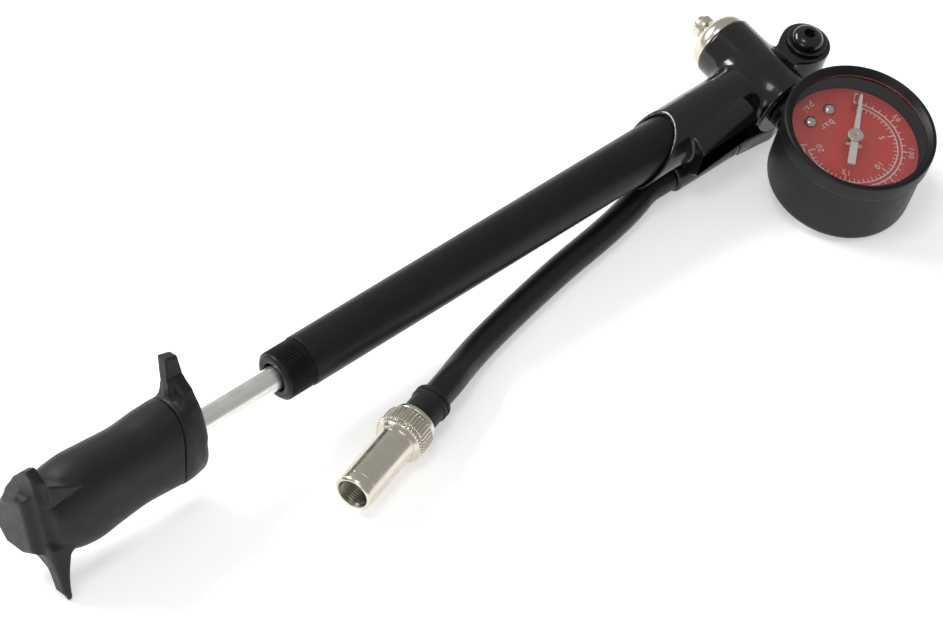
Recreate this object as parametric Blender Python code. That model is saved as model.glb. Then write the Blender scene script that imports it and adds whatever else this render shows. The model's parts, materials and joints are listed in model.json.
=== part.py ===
"""Hand-operated high-pressure shock pump with a swivelling hose and a pressure gauge.

The pump frame has +X along the barrel from the handle to the head, its origin on the barrel's axis
where the barrel meets its knurled cap, and +Z along the normal of the gauge's face. The whole pump
lies on a table, rolled about the barrel's axis, so every piece hangs from the empty pump_frame, which
carries that roll and puts the origin under the middle of the object. Lengths below are millimetres.
"""

import math

import bmesh
import bpy
from mathutils import Euler, Vector

MM = 0.001
GAP = 0.3

# How the pump lies on its table
ROLL = math.radians(12.0)
FRAME_AT = (-54.40, 17.262, 19.507)

# Directions that turn a piece's own +Z
ALONG_X = (0.0, math.pi / 2, 0.0)
ALONG_Y = (-math.pi / 2, 0.0, 0.0)
ALONG_Z = (0.0, 0.0, 0.0)

# Sides of round pieces
FINE = 40
MEDIUM = 28
COARSE = 16

# Barrel and plunger
BARREL_R = 7.5
BARREL_BORE_R = 6.1
BARREL_END = 150.0
CAP_R = 7.25
CAP_FACE = -9.4
CAP_MOUTH_R = 4.2
NECK_R = BARREL_BORE_R - GAP
NECK_END = 8.0
GUIDE_BORE_R = 5.0
ROD_R = 3.45
ROD_BORE_R = 2.3
ROD_START = -66.0
ROD_END = 116.0
PISTON_START = 116.3
PISTON_END = 124.0
PISTON_R = 5.7

# Pump head
COLLAR_R = 8.7
COLLAR_SOCKET_R = 7.8
COLLAR_START = 120.0
COLLAR_END = 164.0
SOCKET_END = 152.3
CHAMBER_R = 3.4
CHAMBER_END = 166.5
TUBE_X = 177.5
TUBE_R = 9.9
TUBE_NEAR = -11.0
TUBE_FAR = 16.4
TUBE_BORE_R = 5.0
LUG_R = 7.5
LUG_TOP = 6.0
LUG_FLOOR = -9.6
HEAD_BLOCK = 7.2

# Gauge, with its centre in front of the cross tube
GAUGE_X = TUBE_X
GAUGE_Y = -36.5
GAUGE_BACK = -7.5
CASE_R = 21.5
CASE_BORE_R = 20.3
CASE_RIM = 16.2
BEZEL_R = 22.6
BEZEL_FACE = 18.7
BEZEL_LIP_R = 19.2
DIAL_R = 19.1
DIAL_Z = 11.2
NEEDLE_Z = 14.4
NEEDLE_ANGLE = 38.5
NEEDLE_TIP = 15.4
LENS_Z = 16.5
WORKS_X = GAUGE_X - 1.0
WORKS_Y = GAUGE_Y
DIAL_SCREWS = ((2.5, 12.1), (-5.1, 11.9))
ZERO_STOP = [(7.6, 8.8), (8.4, 7.9), (11.6, 10.5), (10.8, 11.3)]
SECTOR_REACH = 4.8

# Swivelling hose arm
PIVOT = (195.5, 0.5, 0.0)
ARM_R = 5.2
ARM_Y = -4.5
ARM_Z = -13.6
ARM_TOP = -10.2
ARM_FLOOR = -17.9
SLEEVE_START = 139.5
SLEEVE_END = 164.2

# Hose and chuck
HOSE_R = 4.25
CHUCK_AT = (11.4, -31.9, -5.3)
CHUCK_DIRECTION = Vector((-0.96, -0.275, 0.0585)).normalized()
KNURL_R = 7.5
KNURL_HALF = 3.2
NOSE_R = 5.6
NOSE_END = 26.0
THREAD_R = 4.15
THREAD_FLOOR = 8.0
BOOT_END = 15.5

# Handle, turned about the barrel's axis; its own +Z is the hook's side
HANDLE_TURN = math.radians(-28.0)
COLLAR_SEAM = -48.0
GRIP_END = -88.0


def clear_scene():
    for obj in list(bpy.data.objects):
        bpy.data.objects.remove(obj, do_unlink=True)


def material(name, color, roughness, metallic=0.0):
    made = bpy.data.materials.new(name)
    made.use_nodes = True
    shader = made.node_tree.nodes["Principled BSDF"]
    shader.inputs["Base Color"].default_value = (*color, 1.0)
    shader.inputs["Roughness"].default_value = roughness
    shader.inputs["Metallic"].default_value = metallic
    return made


def empty(name, parent=None, at=(0, 0, 0), turn=(0, 0, 0)):
    """A frame that pieces hang from, placed in the frame of its parent."""
    made = bpy.data.objects.new(name, None)
    bpy.context.collection.objects.link(made)
    made.parent = parent
    made.location = Vector(at) * MM
    made.rotation_euler = Euler(turn)
    return made


def place(obj, parent, at=(0, 0, 0), turn=(0, 0, 0)):
    """Hang obj from parent at a point given in the frame that the parent itself hangs in."""
    obj.parent = parent
    start = Vector((0, 0, 0))
    if parent.name.endswith("pivot"):
        start = parent.location
    obj.location = Vector(at) * MM - start
    obj.rotation_euler = Euler(turn)
    return obj


def finish_mesh(name, bm, mat):
    bmesh.ops.recalc_face_normals(bm, faces=bm.faces)
    mesh = bpy.data.meshes.new(name)
    bm.to_mesh(mesh)
    bm.free()
    mesh.shade_smooth()
    mesh.set_sharp_from_angle(angle=math.radians(32))
    mesh.materials.append(mat)
    obj = bpy.data.objects.new(name, mesh)
    bpy.context.collection.objects.link(obj)
    return obj


def join_rings(bm, ring_a, ring_b):
    """Bridge two rings of points, either of which may be a single point."""
    count = max(len(ring_a), len(ring_b))
    for i in range(count):
        j = i + 1
        corners = (
            ring_a[i % len(ring_a)],
            ring_a[j % len(ring_a)],
            ring_b[j % len(ring_b)],
            ring_b[i % len(ring_b)],
        )
        face = list(dict.fromkeys(corners))
        if len(face) > 2:
            bm.faces.new(face)


def turned(name, profile, mat, sides=MEDIUM):
    """A solid of revolution about +Z from its closed half-section of (along, radius) points."""
    bm = bmesh.new()
    rings = []
    for along, radius in profile:
        if radius == 0:
            rings.append([bm.verts.new((0, 0, along * MM))])
            continue
        ring = []
        for i in range(sides):
            angle = 2 * math.pi * i / sides
            point = Vector((radius * math.cos(angle), radius * math.sin(angle), along))
            ring.append(bm.verts.new(point * MM))
        rings.append(ring)
    for ring_a, ring_b in zip(rings, rings[1:]):
        join_rings(bm, ring_a, ring_b)
    if len(rings[0]) > 1 and len(rings[-1]) > 1:
        join_rings(bm, rings[-1], rings[0])
    return finish_mesh(name, bm, mat)


def tube(name, start, end, outer, inner, mat, sides=MEDIUM, chamfer=0.0):
    """A plain tube or ring, with its outer edges chamfered."""
    profile = [(start, inner), (start, outer - chamfer), (start + chamfer, outer)]
    profile += [(end - chamfer, outer), (end, outer - chamfer), (end, inner)]
    if chamfer == 0:
        profile = [(start, inner), (start, outer), (end, outer), (end, inner)]
    return turned(name, profile, mat, sides)


def rod(name, start, end, radius, mat, sides=MEDIUM):
    return turned(name, [(start, 0), (start, radius), (end, radius), (end, 0)], mat, sides)


def lofted(name, sections, mat):
    """A solid through rings of points, capped at both ends."""
    bm = bmesh.new()
    rings = [[bm.verts.new(Vector(point) * MM) for point in ring] for ring in sections]
    for ring_a, ring_b in zip(rings, rings[1:]):
        join_rings(bm, ring_a, ring_b)
    bm.faces.new(list(reversed(rings[0])))
    bm.faces.new(rings[-1])
    return finish_mesh(name, bm, mat)


def extruded(name, outline, low, high, mat):
    """An outline of (x, y) points carried from z = low to z = high."""
    return lofted(name, [[(x, y, z) for x, y in outline] for z in (low, high)], mat)


def swept(name, points, radius, mat, sides=8, flatness=1.0):
    """A round or flattened wire along a list of points, closed at both ends."""
    path = [Vector(point) for point in points]
    rings = []
    side = None
    for i, point in enumerate(path):
        ahead = (path[min(i + 1, len(path) - 1)] - path[max(i - 1, 0)]).normalized()
        if side is None:
            side = ahead.orthogonal().normalized()
        side = (side - ahead * side.dot(ahead)).normalized()
        up = ahead.cross(side)
        ring = []
        for k in range(sides):
            angle = 2 * math.pi * k / sides
            ring.append(point + radius * (math.cos(angle) * side + flatness * math.sin(angle) * up))
        rings.append(ring)
    return lofted(name, rings, mat)


def helix(start, end, radius, turns, per_turn=8):
    """Points of a coil spring along +Z."""
    count = turns * per_turn
    points = []
    for i in range(count + 1):
        angle = 2 * math.pi * i / per_turn
        along = start + (end - start) * i / count
        points.append((radius * math.cos(angle), radius * math.sin(angle), along))
    return points


def arc(centre, radius, start, end, count):
    """Points of a circular arc, in degrees."""
    points = []
    for i in range(count + 1):
        angle = math.radians(start + (end - start) * i / count)
        points.append((centre[0] + radius * math.cos(angle), centre[1] + radius * math.sin(angle)))
    return points


def combine(target, tool, operation):
    """Join a helper solid to target, or cut it away, and keep the helper out of the model."""
    step = target.modifiers.new(tool.name, "BOOLEAN")
    step.operation = operation
    step.solver = "EXACT"
    step.object = tool
    tool.hide_render = True
    tool.display_type = "WIRE"


def make_materials():
    return {
        "black_anodised": material("black_anodised", (0.012, 0.012, 0.013), 0.42, 0.6),
        "gloss_black": material("gloss_black", (0.008, 0.008, 0.009), 0.12),
        "black_plastic": material("black_plastic", (0.016, 0.016, 0.017), 0.5),
        "nickel": material("nickel", (0.72, 0.69, 0.62), 0.22, 1.0),
        "aluminium": material("aluminium", (0.82, 0.82, 0.80), 0.28, 1.0),
        "steel": material("steel", (0.60, 0.60, 0.60), 0.3, 1.0),
        "brass": material("brass", (0.72, 0.52, 0.20), 0.3, 1.0),
        "rubber": material("rubber", (0.014, 0.014, 0.014), 0.7),
        "hose_rubber": material("hose_rubber", (0.012, 0.012, 0.012), 0.45),
        "red_dial": material("red_dial", (0.62, 0.03, 0.03), 0.4),
        "white_paint": material("white_paint", (0.9, 0.9, 0.88), 0.35),
        "lens": material("lens", (0.9, 0.92, 0.92), 0.05),
    }


def make_barrel(mats, frame):
    """The pump tube with its threaded cap, rod guide and wiper."""
    barrel = tube("barrel", GAP, BARREL_END, BARREL_R, BARREL_BORE_R, mats["black_anodised"], FINE, 0.3)
    place(barrel, frame, turn=ALONG_X)
    cap_profile = [
        (CAP_FACE, CAP_MOUTH_R),
        (CAP_FACE, CAP_R - 0.8),
        (CAP_FACE + 0.8, CAP_R),
        (-0.4, CAP_R),
        (0.0, CAP_R - 0.5),
        (0.0, NECK_R),
        (NECK_END, NECK_R),
        (NECK_END, GUIDE_BORE_R),
        (-6.0, GUIDE_BORE_R),
        (-6.0, CAP_MOUTH_R),
    ]
    place(turned("barrel_cap", cap_profile, mats["black_anodised"], FINE), frame, turn=ALONG_X)
    guide_r = GUIDE_BORE_R - GAP
    rod_hole = ROD_R + GAP
    wiper = tube("rod_wiper", -5.7, -3.2, guide_r, rod_hole, mats["rubber"])
    place(wiper, frame, turn=ALONG_X)
    bush = tube("rod_bushing", -2.9, NECK_END, guide_r, rod_hole, mats["black_plastic"])
    place(bush, frame, turn=ALONG_X)


def make_piston(mats, frame):
    """The piston with its seal and bumper. It slides along the barrel without turning."""
    slide = empty("piston_pivot", frame)
    groove_r = 4.5
    groove = (118.8, 121.6)
    spigot_r = ROD_BORE_R - GAP
    spigot_start = 106.0
    profile = [
        (spigot_start, 0),
        (spigot_start, spigot_r),
        (PISTON_START, spigot_r),
        (PISTON_START, PISTON_R),
        (groove[0], PISTON_R),
        (groove[0], groove_r),
        (groove[1], groove_r),
        (groove[1], PISTON_R),
        (PISTON_END, PISTON_R),
        (PISTON_END, 0),
    ]
    place(turned("piston_head", profile, mats["aluminium"]), slide, turn=ALONG_X)
    seal = tube("piston_seal", groove[0] + GAP, groove[1] - GAP, 5.85, groove_r + GAP, mats["rubber"])
    place(seal, slide, turn=ALONG_X)
    bumper = tube("piston_bumper", 112.6, PISTON_START - GAP, 5.6, ROD_R + GAP, mats["rubber"])
    place(bumper, slide, turn=ALONG_X)


def handle_ring(x, half_h, half_w, lift, power=2.6, count=28):
    """A rounded section of the handle: half_h along its own Z, half_w along its own Y."""
    ring = []
    for i in range(count):
        angle = 2 * math.pi * i / count
        c = math.cos(angle)
        s = math.sin(angle)
        y = half_w * math.copysign(abs(c) ** (2 / power), c)
        z = half_h * math.copysign(abs(s) ** (2 / power), s)
        ring.append((x, y, z + lift))
    return ring


def make_handle(mats, frame):
    """The rod, and the moulded handle pinned on its end. They turn together about the barrel's axis."""
    turn_axis = empty("handle_pivot", frame, turn=(HANDLE_TURN, 0, 0))
    shaft = tube("piston_rod", ROD_START, ROD_END, ROD_R, ROD_BORE_R, mats["aluminium"], MEDIUM, 0.3)
    place(shaft, turn_axis, turn=ALONG_X)
    pin_x = -63.8
    pin_h = 0.0
    pin_r = 1.3
    pin_hole = rod("pin_hole", -12, 12, pin_r + GAP, mats["steel"], COARSE)
    place(pin_hole, turn_axis, (pin_x, 0, pin_h), ALONG_Y)
    combine(shaft, pin_hole, "DIFFERENCE")
    pin = rod("handle_pin", -9.0, 9.0, pin_r, mats["steel"], COARSE)
    place(pin, turn_axis, (pin_x, 0, pin_h), ALONG_Y)

    rod_hole = rod("rod_hole", ROD_START - GAP, -30, ROD_R + GAP, mats["steel"])
    place(rod_hole, turn_axis, turn=ALONG_X)

    sections = [
        handle_ring(-37.6, 10.6, 8.2, 1.0),
        handle_ring(-38.6, 12.0, 9.3, 1.2),
        handle_ring(-42.0, 12.8, 9.9, 1.3),
        handle_ring(COLLAR_SEAM + GAP, 12.8, 9.9, 1.3),
    ]
    front = lofted("handle_collar", sections, mats["black_plastic"])
    place(front, turn_axis)
    hook_side = [
        (-43.6, 8.0),
        (-39.0, 8.0),
        (-38.2, 19.0),
        (-38.6, 24.8),
        (-42.4, 25.6),
        (-42.0, 19.0),
    ]
    hook_rings = [[(x, y, z) for x, z in hook_side] for y in (-1.6, 1.6)]
    hook = lofted("hook", hook_rings, mats["black_plastic"])
    place(hook, turn_axis)
    combine(front, hook, "UNION")
    combine(front, rod_hole, "DIFFERENCE")

    sections = [
        handle_ring(COLLAR_SEAM, 12.5, 9.7, 1.3),
        handle_ring(-53.0, 11.9, 9.3, 1.0),
        handle_ring(-60.0, 11.5, 9.1, 0.6),
        handle_ring(-68.0, 11.9, 9.4, 0.4),
        handle_ring(-76.0, 12.7, 9.9, 0.2),
        handle_ring(-82.0, 12.2, 9.6, 0.3),
        handle_ring(GRIP_END, 10.0, 8.5, 0.8),
    ]
    grip = lofted("handle_grip", sections, mats["black_plastic"])
    place(grip, turn_axis)
    combine(grip, make_palm_plate(mats, turn_axis), "UNION")
    combine(grip, make_palm_block(mats, turn_axis), "UNION")
    combine(grip, make_palm_gusset(mats, turn_axis), "UNION")
    combine(grip, rod_hole, "DIFFERENCE")
    combine(grip, pin_hole, "DIFFERENCE")


def make_palm_plate(mats, parent):
    """The palm rest: a plate across the grip's end that narrows to a wing tip below."""
    outline = [
        (-5.2, 17.0),
        (-3.4, 18.6),
        (-1.0, 17.6),
        (4.5, 13.5),
        (9.5, 7.5),
        (11.0, 1.0),
        (8.0, -7.5),
        (2.0, -11.5),
        (-2.5, -15.5),
        (-6.0, -21.2),
        (-7.0, -22.3),
        (-7.7, -21.4),
        (-6.4, -12.0),
        (-5.6, 0.0),
    ]
    rings = [[(x, y, z) for y, z in outline] for x in (-91.0, -87.6)]
    return place(lofted("palm_plate", rings, mats["black_plastic"]), parent)


def make_palm_block(mats, parent):
    """The blunt heel behind the plate."""
    outline = [(0.5, 9.5), (7.5, 8.0), (12.5, 2.5), (13.6, -4.0), (10.8, -9.0), (3.5, -9.6), (-1.5, -4.0)]
    narrow = [(1.6 + (y - 1.6) * 0.82, z * 0.82) for y, z in outline]
    rings = [
        [(-84.0, y, z) for y, z in narrow],
        [(-89.0, y, z) for y, z in outline],
        [(-94.2, y, z) for y, z in narrow],
    ]
    return place(lofted("palm_block", rings, mats["black_plastic"]), parent)


def make_palm_gusset(mats, parent):
    """The web that carries the wing from the underside of the grip."""
    side = [(-75.5, -9.0), (-80.5, -13.2), (-85.2, -15.8), (-88.2, -19.6), (-90.8, -19.6), (-90.8, -9.0)]
    rings = [[(x, y, z) for x, z in side] for y in (-6.6, -1.4)]
    return place(lofted("palm_gusset", rings, mats["black_plastic"]), parent)


def make_head(mats, frame):
    """The moulded head: barrel collar, cross tube for valve and gauge, swivel lug and hose clip."""
    black = mats["gloss_black"]
    head = rod("pump_head", COLLAR_START, COLLAR_END, COLLAR_R, black, FINE)
    place(head, frame, turn=ALONG_X)

    # The collar's open end leans back: short at the top and the far side, long underneath
    reach = 40.0
    slant_top = 139.5
    slant_floor = 122.5
    slant_side = 3.5
    rings = []
    for y in (-reach, reach):
        shift = slant_side * y / COLLAR_R
        slope = (slant_top - slant_floor) / (2 * COLLAR_R)
        middle = (slant_top + slant_floor) / 2
        high = middle + slope * reach + shift
        low = middle - slope * reach + shift
        rings.append([(low - 99, y, -reach), (low, y, -reach), (high, y, reach), (low - 99, y, reach)])
    place(lofted("slant", rings, black), frame)
    combine(head, bpy.data.objects["slant"], "DIFFERENCE")

    saddle = [(150.0, COLLAR_R - 0.6)]
    saddle += arc((152.0, 21.0), 12.8, -80, -27, 6)
    saddle += [(TUBE_X, 14.0), (TUBE_X, -9.0), (168.0, -9.6), (158.0, -8.6), (150.0, 0.6 - COLLAR_R)]
    place(extruded("saddle", saddle, -HEAD_BLOCK, HEAD_BLOCK, black), frame)
    combine(head, bpy.data.objects["saddle"], "UNION")

    cross = rod("cross_tube", TUBE_NEAR, TUBE_FAR, TUBE_R, black, FINE)
    place(cross, frame, (TUBE_X, 0, 0), ALONG_Y)
    combine(head, cross, "UNION")

    lug = arc(PIVOT, LUG_R, -105, 105, 14)
    lug += [(188.5, 10.0), (185.0, 13.5), (TUBE_X - 3, 14.5), (TUBE_X - 3, -9.5), (185.0, -9.5), (188.5, -7.8)]
    lug_piece = place(extruded("lug", lug, LUG_FLOOR, LUG_TOP, black), frame)
    lug_bore = place(rod("lug_bore", -30, 30, 2.9, black, COARSE), frame, PIVOT)
    combine(lug_piece, lug_bore, "DIFFERENCE")
    combine(head, lug_piece, "UNION")

    clip_centre = (-4.9, ARM_Z)
    clip_points = arc(clip_centre, 6.7, 96, -45, 10) + arc(clip_centre, 5.4, -45, 96, 10)
    rings = [[(x, y, z) for y, z in clip_points] for x in (130.0, 137.0)]
    place(lofted("hose_clip", rings, black), frame)
    combine(head, bpy.data.objects["hose_clip"], "UNION")

    cutters = [
        (rod("cross_bore", -30, 30, TUBE_BORE_R, black), (TUBE_X, 0, 0), ALONG_Y),
        (rod("barrel_socket", 100, SOCKET_END, COLLAR_SOCKET_R, black, FINE), (0, 0, 0), ALONG_X),
        (rod("valve_chamber", 150, CHAMBER_END, CHAMBER_R, black), (0, 0, 0), ALONG_X),
        (rod("air_passage", 160, TUBE_X - 2, 1.5, black, COARSE), (0, 0, 0), ALONG_X),
    ]
    for cutter, at, turn in cutters:
        place(cutter, frame, at, turn)
        combine(head, cutter, "DIFFERENCE")


def make_check_valve(mats, frame):
    """The seat at the barrel's end, and the ball that a light spring holds on it."""
    seat = [
        (BARREL_END + GAP, 1.3),
        (BARREL_END + GAP, COLLAR_SOCKET_R - GAP),
        (SOCKET_END - GAP, COLLAR_SOCKET_R - GAP),
        (SOCKET_END - GAP, 1.3),
    ]
    place(turned("check_valve_seat", seat, mats["brass"]), frame, turn=ALONG_X)
    ball_r = 2.2
    ball_x = 154.1
    half = 8
    profile = []
    for i in range(half + 1):
        angle = math.pi * i / half
        radius = 0 if i in (0, half) else ball_r * math.sin(angle)
        profile.append((-ball_r * math.cos(angle), radius))
    lift = empty("check_ball_pivot", frame, (ball_x, 0, 0))
    place(turned("check_ball", profile, mats["steel"], COARSE), lift, (ball_x, 0, 0), ALONG_X)
    coil = helix(ball_x + ball_r + 1.0, CHAMBER_END - 0.8, 2.3, 5)
    place(swept("check_spring", coil, 0.3, mats["steel"], 6), frame, turn=ALONG_X)


def make_bleed_valve(mats, frame):
    """The nickel dome at the far end of the cross tube, with its sprung bleed button."""
    body = [
        (3.0, 2.0),
        (3.0, TUBE_BORE_R - GAP),
        (TUBE_FAR + GAP, TUBE_BORE_R - GAP),
        (TUBE_FAR + GAP, 9.0),
        (17.6, 9.2),
        (19.6, 8.7),
        (21.4, 7.3),
        (22.6, 5.7),
        (23.1, 4.6),
        (23.1, 2.0),
        (21.0, 2.0),
        (21.0, 3.4),
        (6.0, 3.4),
        (6.0, 2.0),
    ]
    place(turned("bleed_valve_body", body, mats["nickel"]), frame, (TUBE_X, 0, 0), ALONG_Y)
    button = [
        (-0.8, 0),
        (-0.8, 2.9),
        (1.0, 2.9),
        (1.0, 1.5),
        (18.2, 1.5),
        (18.2, 2.9),
        (19.4, 2.9),
        (19.4, 1.6),
        (24.9, 1.6),
        (24.9, 3.5),
        (26.0, 3.5),
        (26.3, 3.1),
        (26.3, 2.3),
        (27.1, 2.2),
        (27.3, 0),
    ]
    press = empty("bleed_button_pivot", frame, (TUBE_X, 0, 0))
    place(turned("bleed_button", button, mats["nickel"], COARSE + 4), press, (TUBE_X, 0, 0), ALONG_Y)
    seal = tube("bleed_seal", 1.3, 2.6, 3.0, 1.8, mats["rubber"], COARSE)
    place(seal, press, (TUBE_X, 0, 0), ALONG_Y)
    coil = helix(7.0, 17.2, 2.4, 5)
    place(swept("bleed_spring", coil, 0.3, mats["steel"], 6), frame, (TUBE_X, 0, 0), ALONG_Y)


def make_gauge_shell(mats, frame):
    """Stem, case, bezel, lens and dial of the gauge."""
    stem = [
        (-20.2, 0.8),
        (-20.2, 3.6),
        (-11.3 - 3.2, 3.6),
        (-11.3 - 3.2, 6.2),
        (-11.3, 6.2),
        (-11.3, TUBE_BORE_R - GAP),
        (-5.5, TUBE_BORE_R - GAP),
        (-5.5, 0.8),
    ]
    place(turned("gauge_stem", stem, mats["gloss_black"]), frame, (TUBE_X, 0, 0), ALONG_Y)
    seal = tube("gauge_seal", -5.2, -3.8, 4.7, 2.2, mats["rubber"], COARSE)
    place(seal, frame, (TUBE_X, 0, 0), ALONG_Y)

    centre = (GAUGE_X, GAUGE_Y, 0)
    case = [
        (GAUGE_BACK, 0),
        (GAUGE_BACK, 20.2),
        (GAUGE_BACK + 1.3, CASE_R),
        (CASE_RIM, CASE_R),
        (CASE_RIM, CASE_BORE_R),
        (GAUGE_BACK + 1.5, CASE_BORE_R),
        (GAUGE_BACK + 1.5, 0),
    ]
    shell = turned("gauge_case", case, mats["gloss_black"], FINE)
    place(shell, frame, centre, ALONG_Z)
    hole = rod("stem_hole", -30, -12, 3.9, mats["gloss_black"])
    place(hole, frame, (TUBE_X, 0, 0), ALONG_Y)
    combine(shell, hole, "DIFFERENCE")

    bezel = [
        (13.2, CASE_R + GAP),
        (13.2, BEZEL_R - 0.2),
        (BEZEL_FACE - 1.0, BEZEL_R),
        (BEZEL_FACE - 0.2, BEZEL_R - 0.4),
        (BEZEL_FACE, BEZEL_R - 0.9),
        (BEZEL_FACE, BEZEL_LIP_R + 0.3),
        (BEZEL_FACE - 0.3, BEZEL_LIP_R),
        (LENS_Z + 1.1 + GAP, BEZEL_LIP_R),
        (LENS_Z + 1.1 + GAP, CASE_R + GAP),
    ]
    place(turned("gauge_bezel", bezel, mats["black_anodised"], FINE), frame, centre, ALONG_Z)
    lens = rod("gauge_lens", LENS_Z, LENS_Z + 1.1, CASE_R - 0.2, mats["lens"], FINE)
    place(lens, frame, centre, ALONG_Z)
    works = (WORKS_X, WORKS_Y, 0)
    dial = tube("gauge_dial", DIAL_Z - 0.5, DIAL_Z, DIAL_R, 1.6, mats["red_dial"], FINE)
    place(dial, frame, works, ALONG_Z)
    for number, (x, y) in enumerate(DIAL_SCREWS, start=1):
        screw = [
            (DIAL_Z + GAP, 0),
            (DIAL_Z + GAP, 1.8),
            (DIAL_Z + 0.8, 1.6),
            (DIAL_Z + 1.3, 0.9),
            (DIAL_Z + 1.5, 0),
        ]
        piece = turned("dial_screw_" + str(number), screw, mats["steel"], COARSE)
        place(piece, frame, (WORKS_X + x, WORKS_Y + y, 0), ALONG_Z)
    post = extruded("zero_stop", ZERO_STOP, DIAL_Z + GAP, NEEDLE_Z + 0.4, mats["brass"])
    place(post, frame, works)


def make_gauge_works(mats, frame):
    """The pressure tube, its plate, the sector and the needle's spindle."""
    centre = (WORKS_X, WORKS_Y, 0)
    coil = [(x, y, 0.0) for x, y in arc((0, 0), 13.6, 66, -190, 26)]
    bourdon = swept("bourdon_tube", coil, 1.6, mats["brass"], 8, 0.55)
    place(bourdon, frame, centre)
    plate = [(-8, 7), (-8, -7), (8, -7), (8, 7)]
    movement = extruded("movement_plate", plate, 3.4, 4.4, mats["brass"])
    place(movement, frame, centre)
    for number, (x, y, radius) in enumerate(((0, 0, 1.1), (-SECTOR_REACH, 0, 1.2)), start=1):
        hole = rod("plate_hole_" + str(number), 0, 9, radius, mats["brass"], COARSE)
        place(hole, frame, (WORKS_X + x, WORKS_Y + y, 0), ALONG_Z)
        combine(movement, hole, "DIFFERENCE")

    spindle_axis = empty("needle_pivot", frame, centre)
    spindle = [
        (2.4, 0),
        (2.4, 0.8),
        (5.4, 0.8),
        (5.4, 1.5),
        (7.4, 1.5),
        (7.4, 0.8),
        (NEEDLE_Z - GAP, 0.8),
        (NEEDLE_Z - GAP, 0),
    ]
    place(turned("needle_spindle", spindle, mats["brass"], COARSE), spindle_axis, centre)
    point = math.radians(NEEDLE_ANGLE)
    along = Vector((math.cos(point), math.sin(point)))
    across = Vector((-along.y, along.x))
    half_shape = [(NEEDLE_TIP, 0.35), (3.0, 0.75), (2.2, 1.6), (0.0, 2.4), (-2.2, 1.6), (-3.0, 1.1), (-10.6, 1.1)]
    outline = [along * u + across * v for u, v in half_shape]
    outline += [along * u - across * v for u, v in reversed(half_shape)]
    outline = [(point_on.x, point_on.y) for point_on in outline]
    needle = extruded("needle", outline, NEEDLE_Z, NEEDLE_Z + 0.5, mats["white_paint"])
    place(needle, spindle_axis, centre)

    sector_at = (WORKS_X - SECTOR_REACH, WORKS_Y, 0)
    sector_axis = empty("sector_pivot", frame, sector_at)
    fan = [(0, -1.6), (-1.6, 0), (0, 1.6)] + arc((0, 0), 2.9, 32, -32, 6)
    sector = extruded("sector_gear", fan, 5.4, 6.4, mats["brass"])
    place(sector, sector_axis, sector_at)
    post = rod("sector_post", 2.4, 6.0, 0.9, mats["brass"], COARSE)
    place(post, sector_axis, sector_at)
    combine(sector, post, "UNION")


def make_hose_arm(mats, frame):
    """The arm under the head that carries the hose, with its screw, washer and seal."""
    pivot = empty("hose_arm_pivot", frame, PIVOT)
    eye = rod("swivel_arm", ARM_FLOOR, ARM_TOP, LUG_R, mats["gloss_black"])
    place(eye, pivot, PIVOT)
    neck = [(PIVOT[0], 5.0), (PIVOT[0], -6.5), (176.0, -8.6), (165.0, -8.6), (165.0, -0.4), (176.0, 0.4)]
    bridge = extruded("arm_neck", neck, ARM_FLOOR, ARM_TOP, mats["gloss_black"])
    place(bridge, pivot, (0, 0, 0))
    combine(eye, bridge, "UNION")
    spigot = rod("arm_spigot", 152.0, 166.0, 3.0, mats["gloss_black"])
    place(spigot, pivot, (0, ARM_Y, ARM_Z), ALONG_X)
    combine(eye, spigot, "UNION")
    thread = rod("arm_thread", -16.5, 0, 2.3, mats["gloss_black"], COARSE)
    place(thread, pivot, PIVOT)
    combine(eye, thread, "DIFFERENCE")

    washer = tube("swivel_washer", LUG_TOP + GAP, LUG_TOP + 1.1, 6.0, 2.9, mats["black_anodised"])
    place(washer, pivot, PIVOT)
    head_floor = LUG_TOP + 1.4
    screw = [
        (-15.8, 0),
        (-15.8, 2.0),
        (head_floor, 2.0),
        (head_floor, 4.7),
        (head_floor + 0.8, 4.7),
        (head_floor + 1.8, 4.1),
        (head_floor + 2.5, 2.9),
        (head_floor + 2.7, 1.9),
        (head_floor + 0.9, 1.8),
        (head_floor + 0.9, 0),
    ]
    place(turned("swivel_screw", screw, mats["gloss_black"]), pivot, PIVOT)

    sleeve_bore = 3.3
    sleeve = [
        (SLEEVE_START, 0),
        (SLEEVE_START, ARM_R - 0.4),
        (SLEEVE_START + 0.4, ARM_R),
        (SLEEVE_END - 0.4, ARM_R),
        (SLEEVE_END, ARM_R - 0.4),
        (SLEEVE_END, sleeve_bore),
        (151.5, sleeve_bore),
        (151.5, 0),
    ]
    place(turned("hose_sleeve", sleeve, mats["gloss_black"]), pivot, (0, ARM_Y, ARM_Z), ALONG_X)


def smooth_route(points, spacing):
    """Points at even spacing along a smooth curve through the given points."""
    knots = [Vector(point) for point in points]
    knots = [2 * knots[0] - knots[1], *knots, 2 * knots[-1] - knots[-2]]
    fine = []
    for a, b, c, d in zip(knots, knots[1:], knots[2:], knots[3:]):
        for i in range(20):
            t = i / 20
            pull = (2 * b) + (c - a) * t + (2 * a - 5 * b + 4 * c - d) * t**2
            fine.append(0.5 * (pull + (3 * b - a - 3 * c + d) * t**3))
    fine.append(knots[-2])
    total = sum((b - a).length for a, b in zip(fine, fine[1:]))
    count = round(total / spacing)
    route = [fine[0]]
    run = 0.0
    for a, b in zip(fine, fine[1:]):
        run += (b - a).length
        if run >= total * len(route) / count and len(route) < count:
            route.append(b)
    route.append(fine[-1])
    return route


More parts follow.
